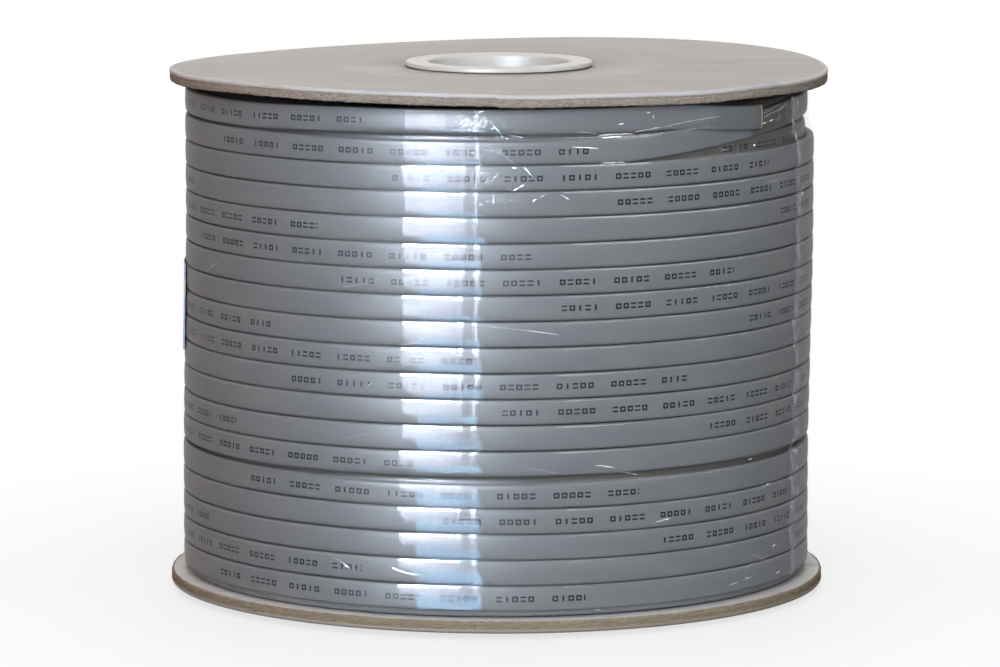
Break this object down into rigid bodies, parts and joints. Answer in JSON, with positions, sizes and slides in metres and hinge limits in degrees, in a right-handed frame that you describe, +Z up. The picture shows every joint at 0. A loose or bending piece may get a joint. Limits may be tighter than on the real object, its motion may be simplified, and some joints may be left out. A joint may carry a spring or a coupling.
{
  "type": "reel of flat telephone cable",
  "caption": "Flat grey multi-core telephone cable wound in level turns on a board-flanged shipping reel with a plastic-bushed arbor hole, wrapped in clear film.",
  "frame": {"origin": "centre of the face that the reel stands on, the underside of the lower bushing's rim, on the arbor axis", "axes": "+Z up along the arbor bore; -Y is the front, where the cut end lies to the right"},
  "size_m": [0.1778, 0.1778, 0.1427],
  "materials": {
    "laminated_board": "white-lined greyboard with a rough die-cut edge",
    "paper_tube": "spiral-wound kraft paper",
    "cream_plastic": "moulded, satin",
    "grey_jacket": "extruded PVC, satin silver grey",
    "clear_film": "clear stretch film",
    "blue_label": "coated paper",
    "bare_copper": "fine stranded copper",
    "white_insulation": "extruded polyolefin",
    "black_insulation": "extruded polyolefin",
    "red_insulation": "extruded polyolefin",
    "green_insulation": "extruded polyolefin",
    "yellow_insulation": "extruded polyolefin",
    "blue_insulation": "extruded polyolefin"
  },
  "bodies": {
    "root": {"lower_flange": "laminated_board", "upper_flange": "laminated_board", "core_tube": "paper_tube", "lower_bushing": "cream_plastic", "upper_bushing": "cream_plastic", "cable_winding": "grey_jacket", "film_tail": "clear_film", "reel_label": "blue_label", "white_insulation": "white_insulation", "white_conductor": "bare_copper", "black_insulation": "black_insulation", "black_conductor": "bare_copper", "red_insulation": "red_insulation", "red_conductor": "bare_copper", "green_insulation": "green_insulation", "green_conductor": "bare_copper", "yellow_insulation": "yellow_insulation", "yellow_conductor": "bare_copper", "blue_insulation": "blue_insulation", "blue_conductor": "bare_copper"}
  },
  "joints": []
}
